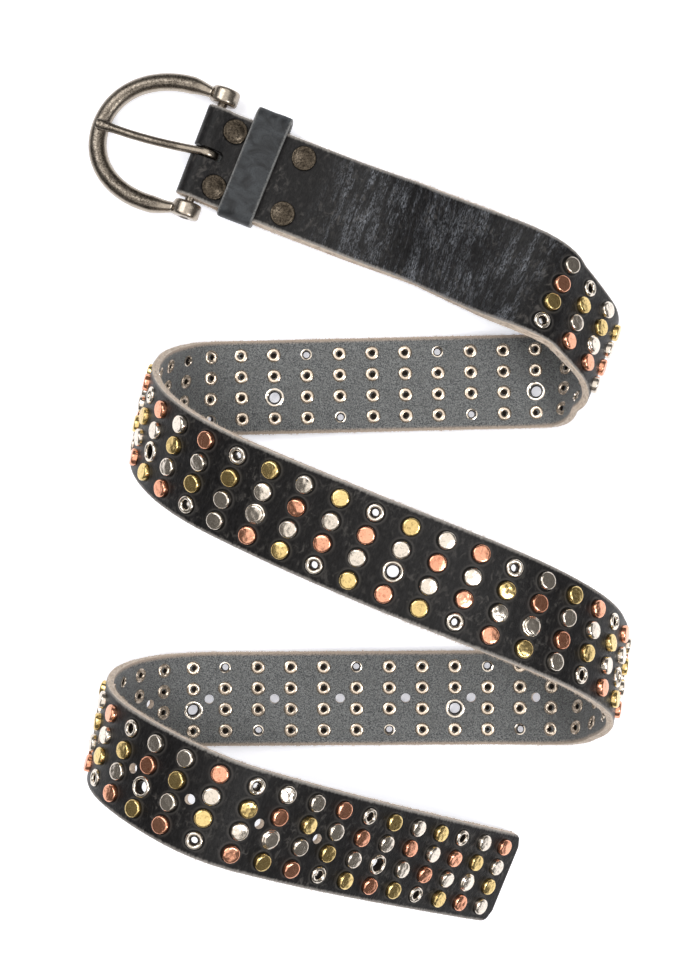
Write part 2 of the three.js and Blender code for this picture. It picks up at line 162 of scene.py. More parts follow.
bpy.ops.mesh.primitive_plane_add(size=table_size, location=(0, 0, cad_box[0][2]))
table = bpy.context.object
table.name = "table"
table_finish, tree, shader = new_finish("opal_acrylic_table", {
    "Roughness": 0.9, "Base Color": srgb("#f2f2f2"), "Emission Color": srgb("#f1f4ff"),
    "Emission Strength": table_glow,
})
table.data.materials.append(table_finish)


# The strap's path. The stretches are counted in columns of studs from the buckle's pin to the last
# column. Turn bends the strap towards its inner face and twist rolls it, in degrees. The anchor is
# where it lies flat on its studs, and before the pin the end folds round and under.
strap_width = 40
strap_thickness = 3
column_spacing = 14
cap_height = 2.2
first_column_from_pin = 12.5
column_count = 76
tip_margin = 10
anchor_stretch = 10
stretches = [
    {"columns": 4.5, "turn": 0, "twist": 0},
    {"columns": 3, "turn": -46, "twist": 18},
    {"columns": 2.5, "turn": 4, "twist": -7},
    {"columns": 1.5, "turn": 18, "twist": -16},
    {"columns": 1.5, "turn": 59, "twist": -24},
    {"columns": 1.5, "turn": 5, "twist": -2},
    {"columns": 2, "turn": 65, "twist": 2},
    {"columns": 1.5, "turn": 38, "twist": -33},
    {"columns": 1, "turn": 27, "twist": -5},
    {"columns": 4.5, "turn": 0, "twist": 0},
    {"columns": 4, "turn": 0, "twist": 0},
    {"columns": 2, "turn": 51, "twist": -20},
    {"columns": 2, "turn": 31, "twist": -8},
    {"columns": 3, "turn": 38, "twist": -2},
    {"columns": 3, "turn": 37, "twist": -4},
    {"columns": 4, "turn": 11, "twist": -10},
    {"columns": 4, "turn": 18, "twist": -15},
    {"columns": 2.5, "turn": 22, "twist": -9},
    {"columns": 2.5, "turn": 30, "twist": -7},
    {"columns": 3, "turn": 38, "twist": 3},
    {"columns": 2, "turn": 47, "twist": -16},
    {"columns": 2, "turn": 25, "twist": -11},
    {"columns": 8.25, "turn": 0, "twist": 0},
    {"columns": 2.5, "turn": 50, "twist": -9},
    {"columns": 2.5, "turn": 38, "twist": -9},
    {"columns": 2.5, "turn": 43, "twist": -6},
    {"columns": 2.5, "turn": 23, "twist": -7},
    {"columns": 2, "turn": 54, "twist": -4},
    {"columns": 4, "turn": 10, "twist": 1},
    {"columns": 6, "turn": 4, "twist": 1},
]
pin_radius = 2
fold_clearance = 1
fold_taper = 9
under_layer_length = 50
layer_gap = 0.15
path_step = 0.5


def walk(start, turned, rows):
    """The points and turns along these stretches, every path_step millimetres."""
    way = []
    for length, turn, twist in rows:
        count = max(2, round(abs(length) / path_step))
        bend = Vector((twist, 0, -turn)) * (math.pi / 180 / count)
        half = Quaternion(bend.normalized(), bend.length / 2) if bend.length else Quaternion()
        for _ in range(count):
            turned = turned @ half
            start = start + turned @ Vector((length / count, 0, 0))
            turned = turned @ half
            way.append((length / count, start, turned))
    return way


def strap_path():
    """Arrays over the strap's flat length: X, place, along, across towards row one, out of the front."""
    anchor = Vector((0, 0, cap_height + strap_thickness / 2))
    lying = Matrix(((-1, 0, 0), (0, 0, -1), (0, -1, 0))).to_quaternion()
    rows = [(s["columns"] * column_spacing, s["turn"], s["twist"]) for s in stretches]
    back = [(-length, -turn, -twist) for length, turn, twist in reversed(rows[:anchor_stretch])]
    beyond = [(1.2 * tip_margin, 0, 0)]
    anchor_x = sum(length for length, _, _ in rows[:anchor_stretch])
    stations = [(anchor_x, anchor, lying)]
    x = anchor_x
    for step, point, turned in walk(anchor, lying, back):
        x += step
        stations.insert(0, (x, point, turned))
    x = anchor_x
    for step, point, turned in walk(anchor, lying, rows[anchor_stretch:] + beyond):
        x += step
        stations.append((x, point, turned))
    return stations


def fold_line():
    """The middle of the folded leather in the pin's own frame, from the taper round the pin and under."""
    middle = strap_thickness / 2
    radius = pin_radius + fold_clearance + middle
    line = []
    for i in range(20):
        share = i / 20
        ease = share * share * (3 - 2 * share)
        line.append((fold_taper * (1 - share), middle + (radius - middle) * ease))
    for i in range(37):
        angle = math.pi / 2 + math.pi * i / 36
        line.append((radius * math.cos(angle), radius * math.sin(angle)))
    low = middle + layer_gap
    for i in range(1, 21):
        share = i / 20
        ease = share * share * (3 - 2 * share)
        line.append((fold_taper * share, -radius + (radius - low) * ease))
    line.append((under_layer_length, -low))
    return line


full_way = strap_path()
stations = [s for s in full_way if s[0] > fold_taper]
pin_turned = full_way[0][2]
pin_walk = full_way[0][1] - pin_turned @ Vector((0, strap_thickness / 2, 0))
offset = hinge_place / MM - pin_walk
pin_place = pin_walk + offset

path_rows = []
line = fold_line()
x = fold_taper
for i, (along, up) in enumerate(line):
    before = line[max(i - 1, 0)]
    after = line[min(i + 1, len(line) - 1)]
    step = math.dist(before, line[i])
    x -= step
    forward = Vector((before[0] - after[0], before[1] - after[1], 0)).normalized()
    out = Vector((-forward.y, forward.x, 0))
    point = pin_place + pin_turned @ Vector((along, up, 0))
    across = -(pin_turned @ Vector((0, 0, 1)))
    path_rows.insert(0, (x, point, pin_turned @ forward, across, pin_turned @ out))
for x, point, turned in stations:
    axes = [turned @ Vector(v) for v in ((1, 0, 0), (0, 0, -1), (0, 1, 0))]
    path_rows.append((x, point + offset, *axes))
path_x = np.array([row[0] for row in path_rows])
path_axes = [np.array([row[i] for row in path_rows]) for i in range(1, 5)]
fold_start = path_x[0]
strap_end = (first_column_from_pin + column_count - 1) * column_spacing + tip_margin


def vertices_of(mesh):
    places = np.empty(len(mesh.vertices) * 3)
    mesh.vertices.foreach_get("co", places)
    return places.reshape(-1, 3)


def path_at(x):
    """Place, along, across and out at these flat lengths."""
    spot = np.interp(x, path_x, np.arange(len(path_x)))
    low = np.clip(spot.astype(int), 0, len(path_x) - 2)
    share = (spot - low)[:, None]
    return [axis[low] * (1 - share) + axis[low + 1] * share for axis in path_axes]


def lay_down(piece):
    """Lays a flat piece along the path, and keeps its flat millimetres in the attribute flat."""
    mesh = piece.data
    flat = vertices_of(mesh)
    kept = mesh.attributes.new("flat", "FLOAT_VECTOR", "POINT")
    kept.data.foreach_set("vector", flat.astype(np.float32).ravel())
    place, _, across, out = path_at(flat[:, 0])
    laid = (place + across * flat[:, 1:2] + out * flat[:, 2:3]) * MM
    mesh.vertices.foreach_set("co", laid.ravel())
    mesh.update()


def matrix_at(x, y=0.0, z=0.0):
    """The matrix, in metres, that carries a small hard piece from the origin to a flat place."""
    place, along, across, out = [Vector(a[0]) for a in path_at(np.array([float(x)]))]
    along = across.cross(out).normalized()
    turn = Matrix((along, across.normalized(), out.normalized())).transposed().to_4x4()
    point = (place + across * y + out * z) * MM
    return Matrix.Translation(point) @ turn @ Matrix.Scale(MM, 4)


# Strap. One strip of black bridle leather, smooth in front and split to a grey suede behind, with
# raw tan edges. It is cut flat, its holes are punched, its corners rounded, and then it is laid down.
tip_corner = 5
edge_round = 0.4
along_cell = 1.75
across_cells = 32
row_spacing = 9
hole_radius = 2
first_hole_column = 44.5
hole_step = 2
hole_count = 13
small_bore = 1.3
large_bore = 2.25
slot_width = 4.6
slot_reach = 7.4
under_slot_reach = 5.9
skive = 1.3
skived = (24, 44, 170, 200)
under_layer_shift = 0.9
shifted = (-15, -30)
creased = (46, 174)
crease_depth = 0.3

# The studs by column, top row first, in a repeat of sixteen that starts at the strap's column
# repeat_start: n nickel, c copper and b brass caps and e a small eyelet. In the third row every fourth
# column has a large rivet or a large eyelet in turn, whatever its letter says.
stud_repeat = [
    "ebnc", "cneb", "nbnc", "cnbe", "ebnn", "bnrc", "ncnb", "bnce",
    "ecnb", "bnec", "ncnb", "cnce", "ebnc", "ncrb", "bncn", "cnbe",
]
repeat_start = 22

# The first columns and the last strand are set in other colours, column by column.
first_columns = ["ncbe", "ebnc", "nbrc"]
last_columns = [
    "nbnc", "cnbe", "ebnc", "nceb", "nbnc", "cnbe", "ebnc", "ncrb", "nbnc",
    "cnbe", "ecnb", "bnec", "ncnb", "bnce", "ecnb", "nbrc", "cnbn",
]


def stud_kind(column, row):
    letters = stud_repeat[(column - repeat_start) % len(stud_repeat)]
    if column <= len(first_columns):
        letters = first_columns[column - 1]
    elif column > column_count - len(last_columns):
        letters = last_columns[column - column_count - 1]
    letter = letters[row]
    if row == 2 and column % 4 == 3:
        return "large_eyelet" if column % 8 == 7 else "large_rivet"
    return {"n": "nickel_cap", "c": "copper_cap", "b": "brass_cap", "e": "small_eyelet"}[letter]


def column_x(column):
    return (first_column_from_pin + column - 1) * column_spacing


studs = [
    {"kind": stud_kind(column, row), "x": column_x(column), "y": (1.5 - row) * row_spacing}
    for column in range(1, column_count + 1) for row in range(4)
]


def skive_at(x):
    """How far the knife leaned at this flat length, from 0 to 1."""
    rise = np.clip((x - skived[0]) / (skived[1] - skived[0]), 0, 1)
    fall = np.clip((skived[3] - x) / (skived[3] - skived[2]), 0, 1)
    return rise * fall


def shift_at(x):
    """How far the folded layer lies towards the last row at this flat length, in millimetres."""
    return under_layer_shift * np.clip((shifted[0] - x) / (shifted[0] - shifted[1]), 0, 1)


def edit(piece):
    bpy.ops.object.select_all(action="DESELECT")
    bpy.context.view_layer.objects.active = piece
    piece.select_set(True)
    bpy.ops.object.mode_set(mode="EDIT")
    bpy.ops.mesh.select_all(action="SELECT")


def leave_edit():
    bpy.ops.object.mode_set(mode="OBJECT")


def join_all(pieces, name):
    bpy.ops.object.select_all(action="DESELECT")
    for piece in pieces:
        piece.select_set(True)
    bpy.context.view_layer.objects.active = pieces[0]
    if len(pieces) > 1:
        bpy.ops.object.join()
    pieces[0].name = name
    return pieces[0]


def punch(x, y, radius, sides):
    bpy.ops.mesh.primitive_cylinder_add(vertices=sides, radius=radius, depth=12, location=(x, y, 0))
    bpy.ops.object.transform_apply()
    return bpy.context.object


def apply_modifier(piece, kind, settings):
    bpy.context.view_layer.objects.active = piece
    modifier = piece.modifiers.new(kind.lower(), kind)
    for key, value in settings.items():
        setattr(modifier, key, value)
    bpy.ops.object.modifier_apply(modifier=modifier.name)


strap_length = strap_end - fold_start
bpy.ops.mesh.primitive_grid_add(
    x_subdivisions=round(strap_length / along_cell), y_subdivisions=across_cells, size=2
)
strap = bpy.context.object
strap.name = "strap_leather"
edit(strap)
bpy.ops.mesh.extrude_region_move(TRANSFORM_OT_translate={"value": (0, 0, -strap_thickness)})
leave_edit()
shape = vertices_of(strap.data)
side = np.sign(shape[:, 2] + strap_thickness / 2)
shape[:, 0] = fold_start + (shape[:, 0] + 1) / 2 * strap_length
spread = np.sin(shape[:, 1] * math.pi / 2)
corner = np.clip((shape[:, 0] - (strap_end - tip_corner)) / tip_corner, 0, 1)
half_width = strap_width / 2 - tip_corner * (1 - np.sqrt(1 - corner ** 2))
shape[:, 1] = spread * half_width
near_edge = np.clip((np.abs(spread) * half_width - (half_width - edge_round)) / edge_round, 0, 1)
shape[:, 2] = side * (strap_thickness / 2 - edge_round * (1 - np.sqrt(1 - near_edge ** 2)))
# The knife leaned here, so the back is a little wider than the front on the last row's side, and the
# folded layer lies a little towards that side too. Both show as a line of tan from above.
x = shape[:, 0]
wide_back = (side < 0) & (spread < -0.9)
shape[:, 1] -= np.where(wide_back, skive * skive_at(x), 0)
shape[:, 1] -= shift_at(x)
strap.data.vertices.foreach_set("co", shape.ravel())
strap.data.update()

hole_columns = [first_hole_column + i * hole_step for i in range(hole_count)]
cutters = [punch(column_x(column), 0, hole_radius, 20) for column in hole_columns]
for stud in studs:
    if stud["kind"] == "small_eyelet":
        cutters.append(punch(stud["x"], stud["y"], small_bore + 0.4, 12))
    if stud["kind"] == "large_eyelet":
        cutters.append(punch(stud["x"], stud["y"], large_bore + 0.4, 16))
slot_low = fold_start + under_layer_length - under_slot_reach
bpy.ops.mesh.primitive_cube_add(
    size=1, location=((slot_reach + slot_low) / 2, 0, 0), scale=(slot_reach - slot_low, slot_width, 12)
)
bpy.ops.object.transform_apply()
slot_cutter = bpy.context.object
apply_modifier(slot_cutter, "BEVEL", {"width": slot_width * 0.45, "segments": 6})
cutters.append(slot_cutter)
cutter = join_all(cutters, "punches")
apply_modifier(strap, "BOOLEAN", {"operation": "DIFFERENCE", "solver": "EXACT", "object": cutter})
bpy.data.objects.remove(cutter)

# The leather creases across itself where it has been bent most, between the buckle and the studs.
shape = vertices_of(strap.data)
for i in np.nonzero((shape[:, 2] > 0.9) & (shape[:, 0] > creased[0]) & (shape[:, 0] < creased[1]))[0]:
    x, y, _ = shape[i]
    fade = min(1, (x - creased[0]) / 12, (creased[1] - x) / 12)
    wave = noise.noise((0.45 * x + 0.1 * y, 0.1 * y, 0)) + 0.5 * noise.noise((1.1 * x, 0.2 * y, 7))
    shape[i, 2] -= crease_depth * fade * abs(wave)
strap.data.vertices.foreach_set("co", shape.ravel())


def flat_millimetres(tree):
    """The flat place of a point of the leather, in millimetres, and its X and Y."""
    flat = add_node(tree, "ShaderNodeAttribute", {"attribute_name": "flat"})["Vector"]
    apart = add_node(tree, "ShaderNodeSeparateXYZ", {0: flat})
    return flat, apart["X"], apart["Y"]


def noise_of(tree, place, stretch, detail, distortion=0.0):
    """Noise whose features are about one over stretch millimetres in size."""
    vector = add_node(tree, "ShaderNodeVectorMath", {"operation": "MULTIPLY", 0: place, 1: stretch})[0]
    return add_node(tree, "ShaderNodeTexNoise", {
        "Vector": vector, "Scale": 1.0, "Detail": detail, "Roughness": 0.6, "Distortion": distortion
    })[0]


def ramp(tree, value, low, high, bottom=0.0, top=1.0):
    """Bottom below low, top above high, and smooth between."""
    return add_node(tree, "ShaderNodeMapRange", {
        "interpolation_type": "SMOOTHSTEP", "Value": value, "From Min": low, "From Max": high,
        "To Min": bottom, "To Max": top,
    })[0]


def calc(tree, operation, a, b=0.0):
    return add_node(tree, "ShaderNodeMath", {"operation": operation, 0: a, 1: b})[0]


def blend_colours(tree, share, a, b):
    """Colour a, or colour b where share is one. A colour is a socket or an sRGB hex value."""
    a = srgb(a) if isinstance(a, str) else a
    b = srgb(b) if isinstance(b, str) else b
    return add_node(tree, "ShaderNodeMix", {"data_type": "RGBA", 0: share, 6: a, 7: b})[2]


def raise_grain(tree, shader, height, millimetres, strength=1.0):
    """Bump of a height from 0 to 1, so many millimetres deep."""
    grain = add_node(tree, "ShaderNodeBump", {
        "Height": height, "Distance": millimetres * MM, "Strength": strength
    })["Normal"]
    tree.links.new(grain, shader.inputs["Normal"])


# Drum-dyed bridle leather with a wax finish: near black with a fine close grain and a soft gloss.
# Rubbed edges turn grey, and where it was bent the finish has crackled across the strap. Round each
# stud a near black rim is painted shadow, with a faint paler ring beyond it. The columns stand at half
# spacings from the pin.
pale_ring_reach = (3.9, 5.2)
stud_shadow_rim = (3.7, 4.1)
rubbed_band = (19.3, 20.7)
front, tree, shader = new_finish("bridle_leather_black", {"IOR": 1.5, "Specular IOR Level": 0.17})
flat, flat_x, flat_y = flat_millimetres(tree)
pores = noise_of(tree, flat, (2.2, 2.2, 2.2), 3)
hatch = noise_of(tree, flat, (1.6, 0.5, 1.0), 4, 0.5)
wrinkles = noise_of(tree, flat, (0.5, 0.35, 0.5), 4, 0.6)
clouds = noise_of(tree, flat, (0.05, 0.07, 0.05), 3)
folds = noise_of(tree, flat, (0.3, 0.045, 0.2), 5, 0.8)
flecks = noise_of(tree, flat, (2.1, 0.8, 1), 4, 0.8)
bent = calc(tree, "MULTIPLY", ramp(tree, flat_x, creased[0], creased[0] + 22),
            ramp(tree, flat_x, creased[1] - 18, creased[1], 1, 0))
cracks = calc(tree, "MULTIPLY", ramp(tree, folds, 0.42, 0.66, 0.06, 1), ramp(tree, flecks, 0.42, 0.66))
cracks = calc(tree, "MULTIPLY", calc(tree, "MULTIPLY", cracks, bent), ramp(tree, clouds, 0.36, 0.6, 0.45, 1))
out_from_middle = calc(tree, "ADD", calc(tree, "ABSOLUTE", flat_y), calc(tree, "MULTIPLY", hatch, 1.6))
rubbed_edge = ramp(tree, out_from_middle, *rubbed_band, 0, 0.85)
rubbed = calc(tree, "MULTIPLY", ramp(tree, wrinkles, 0.48, 0.74), ramp(tree, clouds, 0.4, 0.7, 0.03, 0.2))
column_place = add_node(tree, "ShaderNodeMath", {
    "operation": "WRAP", 0: flat_x, 1: column_spacing, 2: 0
})[0]
row_place = add_node(tree, "ShaderNodeMath", {"operation": "WRAP", 0: flat_y, 1: row_spacing, 2: 0})[0]
halo_x = calc(tree, "SUBTRACT", column_place, column_spacing / 2)
halo_y = calc(tree, "SUBTRACT", row_place, row_spacing / 2)
from_stud = calc(tree, "SQRT", calc(tree, "ADD", calc(tree, "MULTIPLY", halo_x, halo_x),
                                    calc(tree, "MULTIPLY", halo_y, halo_y)))
past_first = ramp(tree, flat_x, column_x(1) - 8, column_x(1) - 6)
within_rows = ramp(tree, calc(tree, "ABSOLUTE", flat_y), 2 * row_spacing - 0.6, 2 * row_spacing - 0.1, 1, 0)
set_area = calc(tree, "MULTIPLY", past_first, within_rows)
# Round each stud: a faint paler ring, and inside it a near black rim that is painted shadow of the cap.
halo = calc(tree, "MULTIPLY", ramp(tree, from_stud, *pale_ring_reach, 0.1, 0), set_area)
stud_shadow = calc(tree, "MULTIPLY", ramp(tree, from_stud, *stud_shadow_rim, 1, 0), set_area)
wear = calc(tree, "MAXIMUM", calc(tree, "MAXIMUM", rubbed, rubbed_edge), halo)
black = blend_colours(tree, ramp(tree, hatch, 0.35, 0.7), "#0c0b0c", "#1d1c1d")
colour = blend_colours(tree, wear, black, "#a19c97")
colour = blend_colours(tree, cracks, colour, blend_colours(tree, pores, "#5c6068", "#9da1a8"))
# Painted shadow round each stud.
colour = blend_colours(tree, stud_shadow, colour, "#050505")
tree.links.new(colour, shader.inputs["Base Color"])
tree.links.new(ramp(tree, calc(tree, "MAXIMUM", wear, cracks), 0, 0.8, 0.4, 0.7), shader.inputs["Roughness"])
grain = calc(tree, "ADD", calc(tree, "MULTIPLY", pores, 0.3), calc(tree, "MULTIPLY", hatch, 0.5))
grain = calc(tree, "ADD", grain, calc(tree, "MULTIPLY", calc(tree, "MULTIPLY", folds, bent), 2.0))
raise_grain(tree, shader, grain, 0.3)

# The flesh side, buffed to a suede: mid grey, quite matt, with a short nap, and paler and tanner
# towards the cut edges.
suede, tree, shader = new_finish("flesh_side_suede", {
    "Roughness": 0.95, "Specular IOR Level": 0.15, "Sheen Weight": 0.15, "Sheen Roughness": 0.5
})
flat, flat_x, flat_y = flat_millimetres(tree)
nap = noise_of(tree, flat, (2.2, 2.2, 2.2), 4, 0.3)
patches = noise_of(tree, flat, (0.12, 0.16, 0.1), 4, 0.5)
fibre_reach = calc(tree, "ADD", calc(tree, "ABSOLUTE", flat_y), calc(tree, "MULTIPLY", nap, 2.4))
at_edge = ramp(tree, fibre_reach, 19.2, 21.0)
colour = blend_colours(tree, ramp(tree, nap, 0.36, 0.64), "#47494b", "#8b8d8d")
colour = blend_colours(tree, ramp(tree, patches, 0.45, 0.7, 0, 0.35), colour, "#6c6d6c")
colour = blend_colours(tree, calc(tree, "MULTIPLY", at_edge, 0.9), colour, "#bba999")
tree.links.new(colour, shader.inputs["Base Color"])
raise_grain(tree, shader, nap, 0.3)

# The raw cut edge: undyed tan fibres with darker flecks, dry and fuzzy.
raw_edge, tree, shader = new_finish("raw_cut_edge", {
    "Roughness": 0.9, "Specular IOR Level": 0.25, "Sheen Weight": 0.3, "Sheen Roughness": 0.5
})
flat, flat_x, flat_y = flat_millimetres(tree)
fibres = noise_of(tree, flat, (0.5, 1.6, 1.6), 4, 0.6)
colour = blend_colours(tree, ramp(tree, fibres, 0.3, 0.55), "#a08d7d", "#d3c4b4")
colour = blend_colours(tree, ramp(tree, fibres, 0.56, 0.72), colour, "#e2d6c8")
tree.links.new(colour, shader.inputs["Base Color"])
raise_grain(tree, shader, fibres, 0.4)

facing = np.empty(len(strap.data.polygons) * 3)
strap.data.polygons.foreach_get("normal", facing)
facing = facing.reshape(-1, 3)[:, 2]
for finish in (front, suede, raw_edge):
    strap.data.materials.append(finish)
middles = np.empty(len(strap.data.polygons) * 3)
strap.data.polygons.foreach_get("center", middles)
middles = middles.reshape(-1, 3)
finish_index = np.where(facing > 0.6, 0, np.where(facing < -0.6, 1, 2))
# The slot's cut walls take the black grain finish instead of the tan edge: painted shade in the slot.
in_slot = (finish_index == 2) & (np.abs(middles[:, 1]) < slot_width) & (middles[:, 0] < fold_taper)
finish_index[in_slot] = 0
strap.data.polygons.foreach_set("material_index", finish_index.astype(np.int32))


def finish_piece(piece, body, nodes, smooth_angle=40):
    """Smooths a laid down piece and says what it rides on and what it replaces."""
    bpy.ops.object.select_all(action="DESELECT")
    piece.select_set(True)
    bpy.context.view_layer.objects.active = piece
    bpy.ops.object.shade_smooth_by_angle(angle=math.radians(smooth_angle))
    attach(piece, body)
    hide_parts(*nodes)


lay_down(strap)
finish_piece(strap, "belt", ["strap"], 35)


# Edge fuzz. Loose fibres of undyed leather that stand out of the raw edges, each a thin closed spike
# a fraction of a millimetre long, half sunk in the edge.
fibre_count = 15000
fibre_width = 0.16
fibre_lengths = (0.4, 1.5)

fibre_points = []
fibre_faces = []
random.seed(11)
for i in range(fibre_count):
    x = random.uniform(fold_start + 1, strap_end - tip_corner)
    side = random.choice((-1, 1))
    out = strap_width / 2 - 0.15
    z = random.uniform(-1.35, 1.0)
    if side < 0:
        out += skive * skive_at(x) * (0.5 - z / strap_thickness) + shift_at(x)
    else:
        out -= shift_at(x)
    length = random.uniform(*fibre_lengths) * random.random() ** 0.5
    lean = random.gauss(0, 0.35)
    rise = random.gauss(0, 0.25)
    half = fibre_width / 2
    fibre_points += [
        (x - half, side * out, z - half), (x + half, side * out, z - half), (x, side * out, z + half),
        (x + lean * length, side * (out + 0.15 + length), z + rise * length),
    ]
    a = 4 * i
    fibre_faces += [(a, a + 1, a + 2), (a, a + 3, a + 1), (a + 1, a + 3, a + 2), (a + 2, a + 3, a)]
fuzz_mesh = bpy.data.meshes.new("edge_fuzz")
fuzz_mesh.from_pydata(fibre_points, [], fibre_faces)
fuzz = bpy.data.objects.new("edge_fuzz", fuzz_mesh)
bpy.context.collection.objects.link(fuzz)
edit(fuzz)
bpy.ops.mesh.normals_make_consistent(inside=False)
leave_edit()
fuzz.data.materials.append(raw_edge)
lay_down(fuzz)
finish_piece(fuzz, "belt", ["strap"], 10)


# Studs. Each is a thin plated cap or eyelet whose tube goes through the leather and is rolled over
# behind into a ring. They are turned profiles, as radius and height from the leather's mid surface.
nickel_cap_profile = [(3.5, 1.2), (3.5, 2.95), (3.3, 3.3), (2.95, 3.5), (2.6, 3.54), (0, 3.62)]
small_eyelet_profile = [
    (3.5, 1.3), (3.5, 1.95), (3.25, 2.4), (2.8, 2.6), (2.2, 2.5), (1.8, 2.0), (1.7, 1.0),
    (1.6, -1.0), (1.65, -1.7), (1.95, -2.05), (2.4, -1.95), (2.5, -1.3),
]
# The throats and the socket hearts are near black rings set in the bores and sockets: painted shade.
small_throat_profile = [(1.85, 1.7), (1.35, 1.6), (1.35, -0.4), (1.85, -0.5)]
large_eyelet_profile = [
    (4.2, 1.3), (4.2, 1.95), (4.0, 2.4), (3.6, 2.6), (3.15, 2.5), (2.85, 2.1), (2.8, 1.0),
    (2.8, -1.2), (2.9, -1.9), (3.4, -2.2), (4.0, -2.0), (4.0, -1.3),
]
large_throat_profile = [(2.95, 1.6), (2.3, 1.5), (2.25, -1.3), (2.95, -1.4)]
large_rivet_profile = [
    (4.0, 1.3), (4.0, 1.9), (3.8, 2.25), (3.35, 2.35), (3.25, 2.75), (3.0, 2.95), (2.5, 3.02), (0, 3.1),
]
socket_profile = [
    (3.05, -1.3), (3.05, -1.75), (2.85, -2.0), (2.2, -2.12), (1.6, -2.08), (1.25, -1.85), (1.15, -1.2),
]
socket_heart_profile = [(1.2, -1.1), (1.2, -1.5), (0.6, -1.55), (0.45, -1.85), (0, -1.95)]
cap_lean = 3.2


def turn_piece(profile, sides):
    """A turned piece: a ring extruded from each point of the profile to the next, then closed."""
    bpy.ops.object.select_all(action="DESELECT")
    radius, height = profile[0]
    bpy.ops.mesh.primitive_circle_add(vertices=sides, radius=radius, location=(0, 0, 0))
    piece = bpy.context.object
    edit(piece)
    bpy.ops.transform.translate(value=(0, 0, height))
    for next_radius, next_height in profile[1:]:
        bpy.ops.mesh.extrude_region_move(TRANSFORM_OT_translate={"value": (0, 0, next_height - height)})
        if next_radius:
            share = next_radius / radius
            bpy.ops.transform.resize(value=(share, share, 1), center_override=(0, 0, next_height))
        else:
            bpy.ops.mesh.merge(type="CENTER")
        radius, height = next_radius, next_height
    bpy.ops.mesh.select_all(action="DESELECT")
    bpy.ops.mesh.select_non_manifold()
    if radius:
        bpy.ops.mesh.bridge_edge_loops()
    else:
        bpy.ops.mesh.edge_face_add()
    bpy.ops.mesh.select_all(action="SELECT")
    bpy.ops.mesh.normals_make_consistent(inside=False)
    leave_edit()
    return piece


def set_studs(model, finish, name, kinds, lean=0.0):
    """A copy of a turned piece at each stud of these kinds, a little askew, joined in one piece."""
    model.data.materials.append(finish)
    copies = []
    for stud in studs:
        if stud["kind"] in kinds:
            copy = model.copy()
            copy.data = model.data.copy()
            bpy.context.collection.objects.link(copy)
            askew = Euler([math.radians(random.gauss(0, lean)) for _ in range(2)] + [random.uniform(0, 6)])
            copy.data.transform(matrix_at(stud["x"], stud["y"]) @ askew.to_matrix().to_4x4())
            tone = copy.data.attributes.new("tone", "FLOAT", "POINT")
            tone.data.foreach_set("value", [random.random()] * len(copy.data.vertices))
            copies.append(copy)
    bpy.data.objects.remove(model)
    return join_all(copies, name)


def object_millimetres(tree):
    place = add_node(tree, "ShaderNodeTexCoord", {})["Object"]
    return add_node(tree, "ShaderNodeVectorMath", {
        "operation": "MULTIPLY", 0: place, 1: (1000, 1000, 1000)
    })[0]


def plated(name, light, dark, roughness, tarnish):
    """Plated sheet brass: a mirror with fine scuffs, each stud a little lighter or darker, and tarnish."""
    material, tree, shader = new_finish(name, {"Metallic": 1.0})
    place = object_millimetres(tree)
    tone = add_node(tree, "ShaderNodeAttribute", {"attribute_name": "tone"})["Fac"]
    spots = noise_of(tree, place, (0.9, 0.9, 0.9), 4, 0.8)
    dents = noise_of(tree, place, (0.32, 0.32, 0.32), 1)
    scuffs = noise_of(tree, place, (3.2, 0.7, 2.1), 4, 1.0)
    dull = calc(tree, "MULTIPLY", ramp(tree, spots, 0.48, 0.68), tarnish)
    dull = calc(tree, "ADD", dull, calc(tree, "MULTIPLY", tone, 0.2))
    tree.links.new(blend_colours(tree, dull, light, dark), shader.inputs["Base Color"])
    gloss = ramp(tree, calc(tree, "ADD", scuffs, calc(tree, "MULTIPLY", dull, 0.3)), 0.35, 0.8,
                 roughness, roughness + 0.16)
    tree.links.new(gloss, shader.inputs["Roughness"])
    raise_grain(tree, shader, calc(tree, "ADD", calc(tree, "MULTIPLY", scuffs, 0.06), dents), 0.3)
    return material


random.seed(5)
nickel = plated("nickel_plate", "#e6dccf", "#948b80", 0.1, 0.35)
copper = plated("copper_plate", "#f0b091", "#a0502f", 0.1, 0.4)
brass = plated("brass_plate", "#e6cb8c", "#7a602b", 0.11, 0.45)
tube_nickel = plated("rolled_nickel_tube", "#ddcdbb", "#84776a", 0.2, 0.35)
# Near black steel for the throats and socket hearts: painted shade in the bores and sockets.
shadowed_steel = plated("painted_shade_steel", "#2c2723", "#0f0d0c", 0.5, 0.8)

caps = [
    ("nickel_caps", nickel, "stud_nickel", "nickel_cap"),
    ("copper_caps", copper, "stud_copper", "copper_cap"),
    ("brass_caps", brass, "stud_brass", "brass_cap"),
]
for name, finish, slot, kind in caps:
    piece = set_studs(turn_piece(nickel_cap_profile, 16), finish, name, [kind], cap_lean)
    finish_piece(piece, "belt", ["strap"], 45)
hard_trim = [
    ("small_eyelets", nickel, small_eyelet_profile, 16, ["small_eyelet"]),
    ("small_eyelet_throats", shadowed_steel, small_throat_profile, 16, ["small_eyelet"]),
    ("large_eyelets", nickel, large_eyelet_profile, 20, ["large_eyelet"]),
    ("large_eyelet_throats", shadowed_steel, large_throat_profile, 20, ["large_eyelet"]),
    ("large_rivets", nickel, large_rivet_profile, 20, ["large_rivet"]),
    ("sockets", tube_nickel, socket_profile, 14, ["nickel_cap", "copper_cap", "brass_cap", "large_rivet"]),
    ("socket_hearts", shadowed_steel, socket_heart_profile, 8,
     ["nickel_cap", "copper_cap", "brass_cap", "large_rivet"]),
]
for name, finish, profile, sides, kinds in hard_trim:
    piece = set_studs(turn_piece(profile, sides), finish, name, kinds, 1.0)
    finish_piece(piece, "belt", ["strap"], 50)


